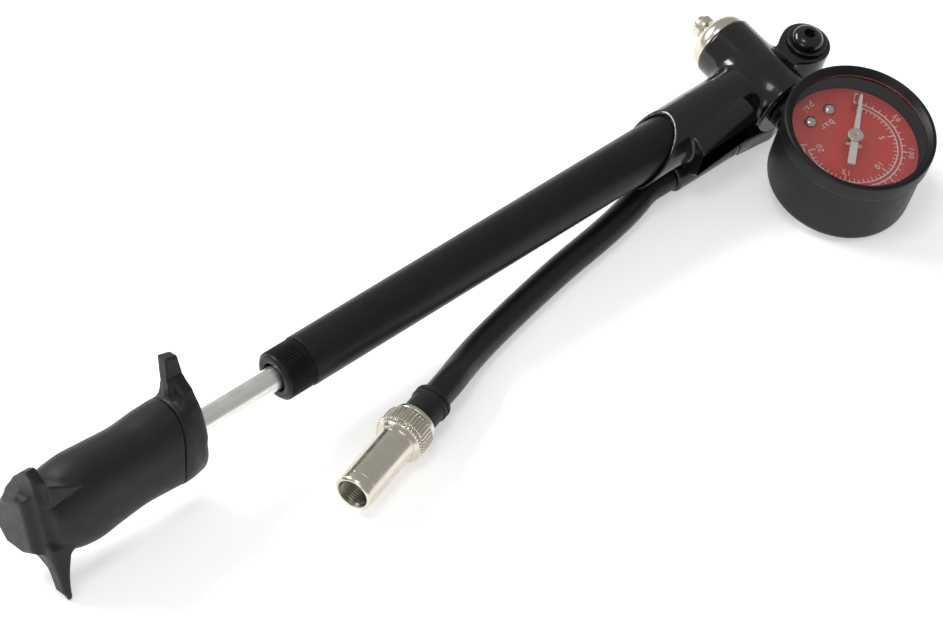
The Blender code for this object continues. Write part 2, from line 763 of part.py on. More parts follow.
def make_hose(mats, frame):
    """The hose as it lies on the table, from the sleeve to the chuck's boot."""
    route = [
        (SLEEVE_START - GAP, ARM_Y, ARM_Z),
        (SLEEVE_START - GAP - 4.5, ARM_Y, ARM_Z),
        (SLEEVE_START - GAP - 9.0, ARM_Y - 0.1, ARM_Z),
        (121.3, -7.0, -13.65),
        (108.3, -9.4, -13.3),
        (90.7, -11.8, -12.8),
        (77.1, -14.1, -12.4),
        (63.2, -16.8, -11.8),
        (51.3, -19.5, -11.1),
        (42.0, -22.4, -9.3),
        tuple(Vector(CHUCK_AT) - CHUCK_DIRECTION * (BOOT_END + GAP + 9.0)),
        tuple(Vector(CHUCK_AT) - CHUCK_DIRECTION * (BOOT_END + GAP + 4.0)),
        tuple(Vector(CHUCK_AT) - CHUCK_DIRECTION * (BOOT_END + GAP)),
    ]
    line = bpy.data.curves.new("hose", "CURVE")
    line.dimensions = "3D"
    line.bevel_depth = HOSE_R * MM
    line.bevel_resolution = 3
    line.use_fill_caps = True
    spline = line.splines.new("POLY")
    points = smooth_route(route, 2.0 * HOSE_R)
    spline.points.add(len(points) - 1)
    for knot, point in zip(spline.points, points):
        knot.co = (*(point * MM), 1.0)
    line.materials.append(mats["hose_rubber"])
    hose = bpy.data.objects.new("hose", line)
    bpy.context.collection.objects.link(hose)
    pivot = bpy.data.objects["hose_arm_pivot"]
    hose.parent = pivot
    hose.location = -pivot.location


def make_chuck(mats, frame):
    """The valve connector: boot and core fixed to the hose, and the knurled nut that turns on them."""
    arm = bpy.data.objects["hose_arm_pivot"]
    turn = CHUCK_DIRECTION.to_track_quat("Z", "Y").to_euler()
    boot = [
        (-BOOT_END, 0),
        (-BOOT_END, 4.5),
        (-14.6, 4.9),
        (-12.2, 5.0),
        (-12.0, 4.6),
        (-11.2, 4.6),
        (-11.0, 5.0),
        (-8.6, 5.1),
        (-8.4, 4.7),
        (-7.6, 4.7),
        (-7.4, 5.2),
        (-5.5, 5.2),
        (-5.5, 2.3),
        (-13.0, 2.3),
        (-13.0, 0),
    ]
    place(turned("hose_boot", boot, mats["rubber"]), arm, CHUCK_AT, turn)
    core = [
        (-12.5, 0.9),
        (-12.5, 1.9),
        (-5.2, 1.9),
        (-5.2, 6.9),
        (-3.6, 6.9),
        (-3.6, 2.2),
        (8.4, 2.2),
        (8.4, 3.7),
        (9.8, 3.7),
        (9.8, 0.9),
    ]
    place(turned("chuck_core", core, mats["nickel"]), arm, CHUCK_AT, turn)
    pin = [(2.0, 0), (2.0, 0.6), (10.2, 0.6), (10.2, 1.0), (11.4, 1.0), (11.4, 0.6), (17.0, 0.6), (17.0, 0)]
    place(turned("depressor_pin", pin, mats["brass"], COARSE), arm, CHUCK_AT, turn)

    spin = empty("chuck_nut_pivot", arm, Vector(CHUCK_AT) - Vector(PIVOT))
    nut = [
        (-KNURL_HALF, 2.5),
        (-KNURL_HALF, KNURL_R - 0.5),
        (0.5 - KNURL_HALF, KNURL_R),
        (KNURL_HALF - 0.5, KNURL_R),
        (KNURL_HALF, KNURL_R - 0.5),
        (KNURL_HALF, 6.5),
        (4.4, 6.5),
        (4.8, NOSE_R),
        (NOSE_END - 0.4, NOSE_R),
        (NOSE_END, NOSE_R - 0.4),
        (NOSE_END, THREAD_R),
        (THREAD_FLOOR, THREAD_R),
        (THREAD_FLOOR, 2.5),
    ]
    nut_piece = turned("chuck_nut", nut, mats["nickel"], FINE)
    nut_piece.parent = spin
    nut_piece.rotation_euler = turn
    seal = tube("chuck_seal", 10.1, 12.3, THREAD_R - GAP, 1.4, mats["rubber"], COARSE)
    seal.parent = spin
    seal.rotation_euler = turn


def build():
    clear_scene()
    mats = make_materials()
    frame = empty("pump_frame", None, FRAME_AT, (ROLL, 0, 0))
    make_barrel(mats, frame)
    make_piston(mats, frame)
    make_handle(mats, frame)
    make_head(mats, frame)
    make_check_valve(mats, frame)
    make_bleed_valve(mats, frame)
    make_gauge_shell(mats, frame)
    make_gauge_works(mats, frame)
    make_hose_arm(mats, frame)
    make_hose(mats, frame)
    make_chuck(mats, frame)


build()
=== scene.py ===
"""Looks for the hand air pump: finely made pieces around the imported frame, its materials and its studio.

Shapes are given in the pump frame, in millimetres: +X along the barrel from the handle to the head, +Z
along the gauge's normal, origin where the barrel meets its cap. The frame's joints say where that is.
"""

import json
import math

import bmesh
import bpy
import numpy as np
from mathutils import Matrix, Vector


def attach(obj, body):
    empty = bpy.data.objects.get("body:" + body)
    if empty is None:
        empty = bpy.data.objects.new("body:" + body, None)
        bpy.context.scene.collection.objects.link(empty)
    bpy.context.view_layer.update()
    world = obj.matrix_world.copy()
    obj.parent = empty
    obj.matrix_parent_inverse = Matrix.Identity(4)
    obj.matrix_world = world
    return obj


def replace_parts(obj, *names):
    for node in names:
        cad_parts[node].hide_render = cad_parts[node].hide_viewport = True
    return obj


MM = 0.001

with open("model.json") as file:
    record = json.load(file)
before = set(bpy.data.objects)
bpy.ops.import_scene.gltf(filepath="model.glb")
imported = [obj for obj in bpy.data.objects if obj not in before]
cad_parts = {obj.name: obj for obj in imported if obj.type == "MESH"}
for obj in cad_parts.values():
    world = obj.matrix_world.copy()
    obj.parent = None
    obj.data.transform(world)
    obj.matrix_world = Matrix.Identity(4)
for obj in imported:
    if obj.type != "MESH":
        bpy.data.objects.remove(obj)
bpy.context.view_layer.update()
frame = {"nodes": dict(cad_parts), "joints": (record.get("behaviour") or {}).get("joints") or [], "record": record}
joints = {joint["name"]: joint for joint in frame["joints"]}


def pump_frame():
    """The matrix that carries pump-frame millimetres into the row frame."""
    x = Vector(joints["plunger_turn"]["axis"])
    y = -Vector(joints["bleed_press"]["axis"])
    z = Vector(joints["hose_swivel"]["axis"])
    turn = Matrix((x, y, z)).transposed().to_4x4()
    origin = Vector(joints["plunger_turn"]["pos_m"])
    return Matrix.Translation(origin) @ turn @ Matrix.Scale(MM, 4)


PUMP = pump_frame()
HANDLE = PUMP @ Matrix.Rotation(math.radians(-28.0), 4, "X")

# Sizes that the CAD gives, in millimetres
BARREL_R = 7.5
BARREL_END = 150.0
CAP_FACE = -9.4
CAP_R = 7.25
ROD_R = 3.45
TUBE_X = 177.5
TUBE_R = 9.9
GAUGE = (177.5, -36.5, 0.0)
WORKS = (176.5, -36.5, 0.0)
DIAL_Z = 11.2
NEEDLE_Z = 14.4
LENS_Z = 15.8
PIVOT = (195.5, 0.5, 0.0)
ARM_Y = -4.5
ARM_Z = -13.6
HOSE_R = 4.25
SLEEVE_START = 139.5
SLEEVE_END = 164.2
CHUCK_AT = Vector((11.4, -31.9, -5.3))
CHUCK_DIRECTION = Vector((-0.96, -0.275, 0.0585)).normalized()
BOOT_END = 15.5
GAP = 0.3

ALONG_X = Vector((1, 0, 0))
ALONG_Y = Vector((0, 1, 0))
ALONG_Z = Vector((0, 0, 1))


# ---------------------------------------------------------------- materials


class Nodes:
    """A short way to add and join shader nodes."""

    def __init__(self, name):
        self.material = bpy.data.materials.new(name)
        self.material.use_nodes = True
        self.tree = self.material.node_tree
        self.shader = self.tree.nodes["Principled BSDF"]
        self.place = self.add("ShaderNodeTexCoord").outputs["Object"]

    def add(self, kind, **values):
        node = self.tree.nodes.new(kind)
        for key, value in values.items():
            setattr(node, key, value)
        return node

    def join(self, source, target):
        self.tree.links.new(source, target)

    def noise(self, scale, detail=3.0, stretch=None):
        source = self.place
        if stretch:
            mapping = self.add("ShaderNodeMapping")
            mapping.inputs["Scale"].default_value = stretch
            self.join(source, mapping.inputs["Vector"])
            source = mapping.outputs["Vector"]
        node = self.add("ShaderNodeTexNoise")
        node.inputs["Scale"].default_value = scale
        node.inputs["Detail"].default_value = detail
        self.join(source, node.inputs["Vector"])
        return node.outputs["Fac"]

    def spread(self, source, low, high):
        node = self.add("ShaderNodeMapRange")
        node.inputs["From Min"].default_value = 0.3
        node.inputs["From Max"].default_value = 0.7
        node.inputs["To Min"].default_value = low
        node.inputs["To Max"].default_value = high
        self.join(source, node.inputs["Value"])
        return node.outputs["Result"]

    def tint(self, source, dark, light):
        node = self.add("ShaderNodeMix", data_type="RGBA")
        self.join(source, node.inputs["Factor"])
        node.inputs["A"].default_value = (*dark, 1)
        node.inputs["B"].default_value = (*light, 1)
        return node.outputs["Result"]

    def bump(self, source, height):
        node = self.add("ShaderNodeBump")
        node.inputs["Strength"].default_value = 1.0
        node.inputs["Distance"].default_value = height
        self.join(source, node.inputs["Height"])
        self.join(node.outputs["Normal"], self.shader.inputs["Normal"])


COAT_ROUGHNESS = 0.06


def worked(
    name, dark, light, rough, metallic=0.0, grain=2500,
    relief=2e-6, stretch=None, coat=0.0, specular=0.5,
):
    """A material with fine grain, uneven gloss and slightly uneven colour."""
    nodes = Nodes(name)
    shader = nodes.shader
    shader.inputs["Metallic"].default_value = metallic
    shader.inputs["Specular IOR Level"].default_value = specular
    patches = nodes.noise(90, 4.0)
    nodes.join(nodes.tint(patches, dark, light), shader.inputs["Base Color"])
    streaks = nodes.noise(grain, 3.0, stretch)
    nodes.join(nodes.spread(nodes.noise(260, 5.0), rough[0], rough[1]), shader.inputs["Roughness"])
    nodes.bump(streaks, relief)
    if coat:
        shader.inputs["Coat Weight"].default_value = coat
        shader.inputs["Coat Roughness"].default_value = COAT_ROUGHNESS
    return nodes.material


def make_materials():
    """One worked material for each finish, and the clear lens."""
    along = (0.04, 1, 1)
    finishes = {
        "black_anodised": dict(
            dark=(0.007, 0.007, 0.008),
            light=(0.011, 0.011, 0.012),
            rough=(0.34, 0.42),
            grain=5000,
            specular=0.22,
        ),
        "gloss_black": dict(
            dark=(0.005, 0.005, 0.006),
            light=(0.008, 0.008, 0.009),
            rough=(0.15, 0.22),
            grain=900,
            coat=0.3,
            specular=0.4,
        ),
        "black_plastic": dict(
            dark=(0.010, 0.010, 0.011),
            light=(0.016, 0.016, 0.017),
            rough=(0.40, 0.52),
            grain=3500,
            relief=1.2e-5,
            specular=0.28,
        ),
        "nickel": dict(
            dark=(0.62, 0.58, 0.49),
            light=(0.76, 0.72, 0.62),
            rough=(0.20, 0.30),
            metallic=1.0,
            grain=1500,
        ),
        "aluminium": dict(
            dark=(0.82, 0.82, 0.79),
            light=(0.90, 0.90, 0.87),
            rough=(0.26, 0.34),
            metallic=1.0,
            relief=3e-6,
            stretch=along,
        ),
        # Painted shade: a very dark metal that stands in for the shade inside the knurled nut's bore
        "bore_painted_shade": dict(
            dark=(0.16, 0.15, 0.12),
            light=(0.24, 0.22, 0.18),
            rough=(0.28, 0.40),
            metallic=1.0,
        ),
        "steel": dict(
            dark=(0.50, 0.50, 0.50),
            light=(0.62, 0.62, 0.61),
            rough=(0.10, 0.20),
            metallic=1.0,
        ),
        "brass": dict(
            dark=(0.70, 0.48, 0.16),
            light=(0.86, 0.64, 0.28),
            rough=(0.18, 0.30),
            metallic=1.0,
        ),
        "rubber": dict(
            dark=(0.009, 0.009, 0.009),
            light=(0.015, 0.015, 0.015),
            rough=(0.42, 0.56),
            grain=2600,
            relief=1e-5,
            specular=0.25,
        ),
        "hose_rubber": dict(
            dark=(0.007, 0.007, 0.007),
            light=(0.012, 0.012, 0.012),
            rough=(0.30, 0.42),
            grain=1800,
            relief=8e-6,
            specular=0.3,
        ),
        "red_dial": dict(
            dark=(0.80, 0.06, 0.045),
            light=(0.88, 0.08, 0.06),
            rough=(0.30, 0.42),
            grain=4000,
        ),
        "white_paint": dict(
            dark=(0.86, 0.86, 0.84),
            light=(0.93, 0.93, 0.91),
            rough=(0.30, 0.42),
        ),
    }
    mats = {name: worked(name, **finish) for name, finish in finishes.items()}
    lens = Nodes("lens")
    lens.shader.inputs["Base Color"].default_value = (1, 1, 1, 1)
    lens.shader.inputs["Transmission Weight"].default_value = 1.0
    lens.shader.inputs["IOR"].default_value = 1.45
    lens.join(lens.spread(lens.noise(200), 0.0, 0.03), lens.shader.inputs["Roughness"])
    mats["lens"] = lens.material
    return mats


# ---------------------------------------------------------------- mesh tools


def finish_piece(name, points, faces, matrix, mat, sharp=None):
    """A mesh object from points in a millimetre frame, placed by baking the matrix into its points."""
    mesh = bpy.data.meshes.new(name)
    mesh.from_pydata([tuple(point) for point in points], [], [tuple(face) for face in faces])
    mesh.transform(matrix)
    work = bmesh.new()
    work.from_mesh(mesh)
    bmesh.ops.recalc_face_normals(work, faces=work.faces)
    work.to_mesh(mesh)
    work.free()
    mesh.shade_smooth()
    if sharp:
        mesh.set_sharp_from_angle(angle=math.radians(sharp))
    mesh.materials.append(mat)
    obj = bpy.data.objects.new(name, mesh)
    bpy.context.collection.objects.link(obj)
    return obj


def axis_frame(at, direction):
    """A frame whose +Z is direction and whose +Y leans towards the pump's +Y or +Z."""
    turn = direction.to_track_quat("Z", "Y")
    return Matrix.Translation(Vector(at)) @ turn.to_matrix().to_4x4()


def turned_points(profile, sides, shape=None):
    """Rings of points about +Z. shape(along, angle) may add to a ring's radius."""
    points = []
    rings = []
    for entry in profile:
        along, radius = entry[0], entry[1]
        relief = entry[2] if len(entry) > 2 else 0.0
        if radius == 0:
            rings.append([len(points)])
            points.append((0.0, 0.0, along))
            continue
        ring = []
        for i in range(sides):
            angle = 2 * math.pi * i / sides
            reach = radius
            if relief and shape:
                reach += relief * shape(along, angle)
            ring.append(len(points))
            points.append((reach * math.cos(angle), reach * math.sin(angle), along))
        rings.append(ring)
    return points, rings


def bridge(rings, closed):
    faces = []
    pairs = list(zip(rings, rings[1:]))
    if closed:
        pairs.append((rings[-1], rings[0]))
    for a, b in pairs:
        for i in range(max(len(a), len(b))):
            j = i + 1
            corners = (a[i % len(a)], a[j % len(a)], b[j % len(b)], b[i % len(b)])
            face = list(dict.fromkeys(corners))
            if len(face) > 2:
                faces.append(face)
    return faces


def turned(name, profile, at, direction, mat, sides=96, shape=None, sharp=35):
    """A solid of revolution in the pump frame, with rounded or knurled rings where shape says so."""
    points, rings = turned_points(profile, sides, shape)
    closed = len(rings[0]) > 1 and len(rings[-1]) > 1
    matrix = PUMP @ axis_frame(at, direction)
    return finish_piece(name, points, bridge(rings, closed), matrix, mat, sharp)


def rounded(profile, radius, steps=3):
    """The profile with every listed corner rounded: an entry (along, r, size) rounds its corner."""
    result = []
    count = len(profile)
    for i, entry in enumerate(profile):
        size = entry[2] if len(entry) > 2 else radius
        here = Vector(entry[:2])
        before = Vector(profile[(i - 1) % count][:2])
        after = Vector(profile[(i + 1) % count][:2])
        if size <= 0 or here.y == 0:
            result.append((here.x, here.y))
            continue
        size_a = min(size, 0.45 * (before - here).length)
        size_b = min(size, 0.45 * (after - here).length)
        start = here + (before - here).normalized() * size_a
        end = here + (after - here).normalized() * size_b
        for k in range(steps + 1):
            t = k / steps
            point = start * (1 - t) ** 2 + 2 * here * t * (1 - t) + end * t**2
            result.append((point.x, point.y))
    return result


def prism_points(outline, low, high):
    """Points and faces of an outline carried from z = low to z = high."""
    count = len(outline)
    points = [(x, y, low) for x, y in outline] + [(x, y, high) for x, y in outline]
    faces = [list(range(count))[::-1], list(range(count, 2 * count))]
    for i in range(count):
        j = (i + 1) % count
        faces.append([i, j, count + j, count + i])
    return points, faces


def prisms(name, outlines, low, high, at, mat):
    """Several flat prisms over the pump's XY plane as one piece."""
    points = []
    faces = []
    for outline in outlines:
        more, sides = prism_points(outline, low, high)
        faces += [[index + len(points) for index in face] for face in sides]
        points += more
    return finish_piece(name, points, faces, PUMP @ Matrix.Translation(Vector(at)), mat, 30)


# ---------------------------------------------------------------- sculpted solids from distance fields


def round_bar(p, axis, centre, radius, low, high, edge=0.5):
    """Distance to a cylinder along one axis with rounded end edges."""
    others = [i for i in range(3) if i != axis]
    across = np.hypot(p[:, others[0]] - centre[0], p[:, others[1]] - centre[1]) - (radius - edge)
    along = np.abs(p[:, axis] - (low + high) / 2) - ((high - low) / 2 - edge)
    inside = np.minimum(np.maximum(across, along), 0)
    return inside + np.hypot(np.maximum(across, 0), np.maximum(along, 0)) - edge


def round_box(p, centre, half, edge):
    reach = np.abs(p - np.array(centre)) - (np.array(half) - edge)
    outside = np.linalg.norm(np.maximum(reach, 0), axis=1)
    return outside + np.minimum(reach.max(axis=1), 0) - edge


def polygon(p, q, corners):
    """Signed distance in a plane to a closed polygon, negative inside."""
    count = len(corners)
    best = np.full(p.shape, np.inf)
    flips = np.zeros(p.shape, bool)
    for i in range(count):
        ax, ay = corners[i]
        bx, by = corners[(i + 1) % count]
        ex, ey = bx - ax, by - ay
        wx, wy = p - ax, q - ay
        share = np.clip((wx * ex + wy * ey) / (ex * ex + ey * ey), 0, 1)
        best = np.minimum(best, (wx - ex * share) ** 2 + (wy - ey * share) ** 2)
        with np.errstate(divide="ignore", invalid="ignore"):
            cross = ax + (q - ay) * ex / (ey if ey else 1e-9)
        flips ^= ((ay > q) != (by > q)) & (p < cross)
    return np.where(flips, -1, 1) * np.sqrt(best)


def extrude(flat, along, low, high, edge=0.4):
    """Carry a planar distance along one coordinate, with rounded edges."""
    depth = np.abs(along - (low + high) / 2) - ((high - low) / 2 - edge)
    side = flat + edge
    inside = np.minimum(np.maximum(side, depth), 0)
    return inside + np.hypot(np.maximum(side, 0), np.maximum(depth, 0)) - edge


def join(a, b, soft):
    """The union of two fields with a fillet."""
    mix = np.clip(0.5 + 0.5 * (b - a) / soft, 0, 1)
    return b * (1 - mix) + a * mix - soft * mix * (1 - mix)


def cut(a, b, soft=0.25):
    """a without b, with the new edge slightly eased."""
    return -join(-a, b, soft)


def surface_points(field, low, high, step):
    """A closed quad mesh on the field's zero level, by one point in each cell that it crosses."""
    sides = [np.arange(a, b + step, step) for a, b in zip(low, high)]
    grid = np.stack(np.meshgrid(*sides, indexing="ij"), -1)
    shape = grid.shape[:3]
    values = field(grid.reshape(-1, 3)).reshape(shape)
    cells = tuple(n - 1 for n in shape)
    total = np.zeros((*cells, 3))
    count = np.zeros(cells)
    for a in range(3):
        order = (a, (a + 1) % 3, (a + 2) % 3)
        v = np.transpose(values, order)
        crossing = (v[:-1] < 0) != (v[1:] < 0)
        with np.errstate(divide="ignore", invalid="ignore"):
            share = np.where(crossing, v[:-1] / (v[:-1] - v[1:]), 0)
        sums = np.transpose(total, (*order, 3))
        tally = np.transpose(count, order)
        nb, nc = v.shape[1] - 1, v.shape[2] - 1
        for db in (0, 1):
            for dc in (0, 1):
                met = crossing[:, db : db + nb, dc : dc + nc]
                sums[..., order[0]] += met * share[:, db : db + nb, dc : dc + nc]
                sums[..., order[1]] += met * db
                sums[..., order[2]] += met * dc
                tally += met
    used = count > 0
    index = np.full(cells, -1)
    index[used] = np.arange(used.sum())
    places = np.argwhere(used) + total[used] / count[used][:, None]
    points = np.array(low) + places * step
    faces = []
    for a in range(3):
        order = (a, (a + 1) % 3, (a + 2) % 3)
        v = np.transpose(values, order)
        number = np.transpose(index, order)
        inner = v[:, 1:-1, 1:-1]
        crossing = (inner[:-1] < 0) != (inner[1:] < 0)
        i, j, k = np.nonzero(crossing)
        quad = np.stack(
            [number[i, j, k], number[i, j + 1, k], number[i, j + 1, k + 1], number[i, j, k + 1]], 1
        )
        outward = inner[i, j, k] < 0
        quad[~outward] = quad[~outward][:, ::-1]
        faces.append(quad)
    return points, np.concatenate(faces)


def settle(points, field, rounds=3, reach=0.02):
    """Move points onto the zero level along the field's slope."""
    for _ in range(rounds):
        value = field(points)
        slope = np.zeros_like(points)
        for axis in range(3):
            shift = np.zeros(3)
            shift[axis] = reach
            slope[:, axis] = (field(points + shift) - field(points - shift)) / (2 * reach)
        size = np.maximum((slope**2).sum(1), 0.2)
        move = slope * (value / size)[:, None]
        length = np.linalg.norm(move, axis=1)
        move *= np.minimum(1, 0.15 / np.maximum(length, 1e-9))[:, None]
        points = points - move
    return points


def sculpted(name, field, low, high, step, matrix, mat):
    points, faces = surface_points(field, low, high, step)
    points = settle(points, field)
    return finish_piece(name, points, faces, matrix, mat)


# ---------------------------------------------------------------- barrel and plunger


def saw(count):
    """Straight knurling: count flat-topped ridges around."""

    def shape(along, angle):
        phase = (angle * count / (2 * math.pi)) % 1.0
        return -min(1.0, max(0.0, 2.6 * abs(phase - 0.5) - 0.35))

    return shape


def make_barrel(mats):
    profile = [
        (0.15, 6.3, 0),
        (0.15, BARREL_R, 0.35),
        (BARREL_END, BARREL_R, 0.3),
        (BARREL_END, 6.3, 0),
    ]
    barrel = turned(
        "barrel_tube", rounded(profile, 0.2), (0, 0, 0), ALONG_X, mats["black_anodised"], 128,
    )
    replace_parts(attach(barrel, "pump"), "barrel")

    ridge = 0.42
    cap_profile = [
        (-6.0, 4.2),
        (CAP_FACE + 0.5, 4.2),
        (CAP_FACE + 0.1, 4.4),
        (CAP_FACE, 4.7),
        (CAP_FACE, 6.0),
        (CAP_FACE + 0.1, 6.35),
        (CAP_FACE + 0.45, 6.7),
        (CAP_FACE + 0.75, 6.85),
        (CAP_FACE + 0.8, CAP_R - 0.1, ridge * 0.5),
        (CAP_FACE + 1.1, CAP_R, ridge),
        (-1.2, CAP_R, ridge),
        (-0.95, CAP_R - 0.1, ridge * 0.5),
        (-0.9, 6.8),
        (-0.35, 6.8),
        (-0.3, 7.1),
        (0.0, 7.1),
        (0.05, 6.0),
        (0.05, 5.8),
        (8.0, 5.8),
        (8.0, 5.0),
        (-6.0, 5.0),
    ]
    cap = turned(
        "knurled_cap", cap_profile, (0, 0, 0), ALONG_X, mats["black_anodised"], 56 * 8, saw(56), 30
    )
    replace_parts(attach(cap, "pump"), "barrel_cap")

    rod_profile = [(-66, 2.3, 0), (-66, ROD_R, 0.3), (116, ROD_R, 0.3), (116, 2.3, 0)]
    rod = turned("bright_rod", rounded(rod_profile, 0.2), (0, 0, 0), ALONG_X, mats["aluminium"], 96)
    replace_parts(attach(rod, "plunger"), "piston_rod")


def between(x, knots):
    """Smooth values read between (x, value) knots."""
    xs = np.array([k[0] for k in knots], float)
    ys = np.array([k[1] for k in knots], float)
    place = np.clip(np.searchsorted(xs, x) - 1, 0, len(xs) - 2)
    t = np.clip((x - xs[place]) / (xs[place + 1] - xs[place]), 0, 1)
    slope = np.gradient(ys, xs)
    span = xs[place + 1] - xs[place]
    a, b = ys[place], ys[place + 1]
    ma, mb = slope[place] * span, slope[place + 1] * span
    curve = (2 * t**3 - 3 * t**2 + 1) * a + (t**3 - 2 * t**2 + t) * ma
    return curve + (-2 * t**3 + 3 * t**2) * b + (t**3 - t**2) * mb


def oval(p, half_h, half_w, lift, power=2.5):
    """Distance-like field of a rounded section whose size changes along X."""
    h = between(p[:, 0], half_h)
    w = between(p[:, 0], half_w)
    z = p[:, 2] - between(p[:, 0], lift)
    y = p[:, 1]
    size = (np.abs(y / w) ** power + np.abs(z / h) ** power) ** (1 / power)
    return (size - 1) * 0.5 * (h + w)


COLLAR_SEAM = -48.0


def seam_side(p):
    """Signed distance ahead of the grip's seam, which leans forward at the top."""
    return COLLAR_SEAM + 0.2 * np.maximum(p[:, 2] + 4.0, 0) - p[:, 0]


def front_collar(p):
    """The front of the handle: a flared ring with the upright hook."""
    half_h = [(-50, 12.3), (-44, 12.2), (-41, 11.9), (-36, 11.4)]
    half_w = [(-50, 9.5), (-44, 9.2), (-41, 8.2), (-36, 6.6)]
    lift = [(-50, 0.6), (-44, 0.4), (-41, 0.2), (-36, 0.1)]
    body = oval(p, half_h, half_w, lift)
    front = p[:, 0] + 37.6
    body = -join(-body, -front, 2.6)
    fin_line = [
        (-6.0, 0.0), (-6.4, 10.0), (-5.2, 15.2), (-2.2, 18.2),
        (2.2, 18.2), (5.2, 15.2), (6.4, 10.0), (6.0, 0.0),
    ]
    fin = extrude(polygon(p[:, 1], p[:, 2], fin_line), p[:, 0], -41.8, -37.7, 1.2)
    body = join(body, fin, 3.0)
    body = np.maximum(body, seam_side(p) + GAP)
    side = [(-43.6, 4.0), (-38.8, 4.0), (-37.9, 18.2), (-38.4, 24.6), (-42.2, 25.6), (-43.0, 19.0)]
    hook = extrude(polygon(p[:, 0], p[:, 2], side), p[:, 1], -1.9, 1.9, 0.45)
    groove = round_box(p, (-41.0, -1.9, 18.7), (3.4, 0.35, 0.3), 0.1)
    hook = cut(hook, groove, 0.15)
    body = join(body, hook, 0.9)
    body = cut(body, round_bar(p, 0, (0, 0), 3.75, -60, -30, 0.01), 0.3)
    return body


def grip(p):
    """The grip, waisted behind the seam, with the palm plate, its wing, the heel and the web."""
    half_h = [
        (-96, 8.5), (-88, 9.2), (-83, 11.4), (-77, 12.5),
        (-68, 12.0), (-59, 11.4), (-52, 11.9), (-46, 12.2), (-40, 12.3),
    ]
    half_w = [
        (-96, 8), (-88, 8.6), (-83, 9.6), (-77, 9.9),
        (-68, 9.4), (-59, 9.1), (-52, 9.3), (-46, 9.4), (-40, 9.2),
    ]
    lift = [
        (-96, 0.8), (-88, 0.8), (-83, 0.3), (-77, 0.2),
        (-68, 0.4), (-59, 0.5), (-52, 0.6), (-46, 0.5), (-40, 0.3),
    ]
    body = oval(p, half_h, half_w, lift)
    body = np.maximum(body, -seam_side(p))
    body = -join(-body, p[:, 0] + 88.5, 2.0)
    plate_line = [
        (-5.2, 17.0),
        (-3.4, 18.6),
        (-1.0, 17.6),
        (4.5, 13.5),
        (9.5, 7.5),
        (11.0, 1.0),
        (8.0, -7.5),
        (2.0, -11.5),
        (-2.5, -15.5),
        (-6.0, -21.2),
        (-7.0, -22.3),
        (-7.7, -21.4),
        (-6.4, -12.0),
        (-5.6, 0.0),
    ]
    taper = 1 + 0.12 * np.maximum(-p[:, 2] - 9.0, 0)
    plate = extrude(
        polygon(p[:, 1], p[:, 2], plate_line), -89.4 + (p[:, 0] + 89.4) * taper, -91.0, -87.8, 0.6,
    )
    heel_line = [
        (-3.2, 10.5),
        (1.0, 10.5),
        (7.5, 8.0),
        (12.5, 2.5),
        (13.6, -4.0),
        (10.8, -9.0),
        (3.5, -9.6),
        (-3.6, -7.0),
    ]
    heel = extrude(polygon(p[:, 1], p[:, 2], heel_line), p[:, 0], -94.2, -85.0, 2.0)
    body = join(body, heel, 4.0)
    web_line = [
        (-83.0, -6.5), (-85.7, -9.5), (-88.0, -16.0), (-89.6, -19.8), (-90.8, -19.8), (-90.8, -5.0),
    ]
    web = extrude(polygon(p[:, 0], p[:, 2], web_line), p[:, 1], -7.4, -3.0, 0.8)
    body = join(body, web, 1.6)
    rib_line = [(-78.5, 9.6), (-88.5, 14.8), (-88.5, 8.0)]
    rib = extrude(polygon(p[:, 0], p[:, 2], rib_line), p[:, 1], -8.8, -4.0, 0.6)
    body = join(body, rib, 1.2)
    body = join(body, plate, 2.6)
    return cut(body, round_bar(p, 0, (0, 0), 3.75, -66.3, -30, 0.01), 0.2)


def make_handle(mats):
    plastic = mats["black_plastic"]
    collar = sculpted(
        "hooked_collar", front_collar, (-49, -12, -14), (-35, 12, 27.5), 0.4, HANDLE, plastic,
    )
    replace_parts(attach(collar, "plunger"), "handle_collar")
    body = sculpted("moulded_grip", grip, (-96, -12, -24), (-42.0, 15.5, 20.5), 0.42, HANDLE, plastic)
    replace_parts(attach(body, "plunger"), "handle_grip")
    pin_profile = [(-8.0, 0, 0), (-8.0, 1.25, 0.2), (8.0, 1.25, 0.2), (8.0, 0, 0)]
    pin = turned("grip_pin", rounded(pin_profile, 0.2), (-63.8, 0, 0), ALONG_Y, mats["steel"], 32)
    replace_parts(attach(pin, "plunger"), "handle_pin")


# ---------------------------------------------------------------- head, valve and arm


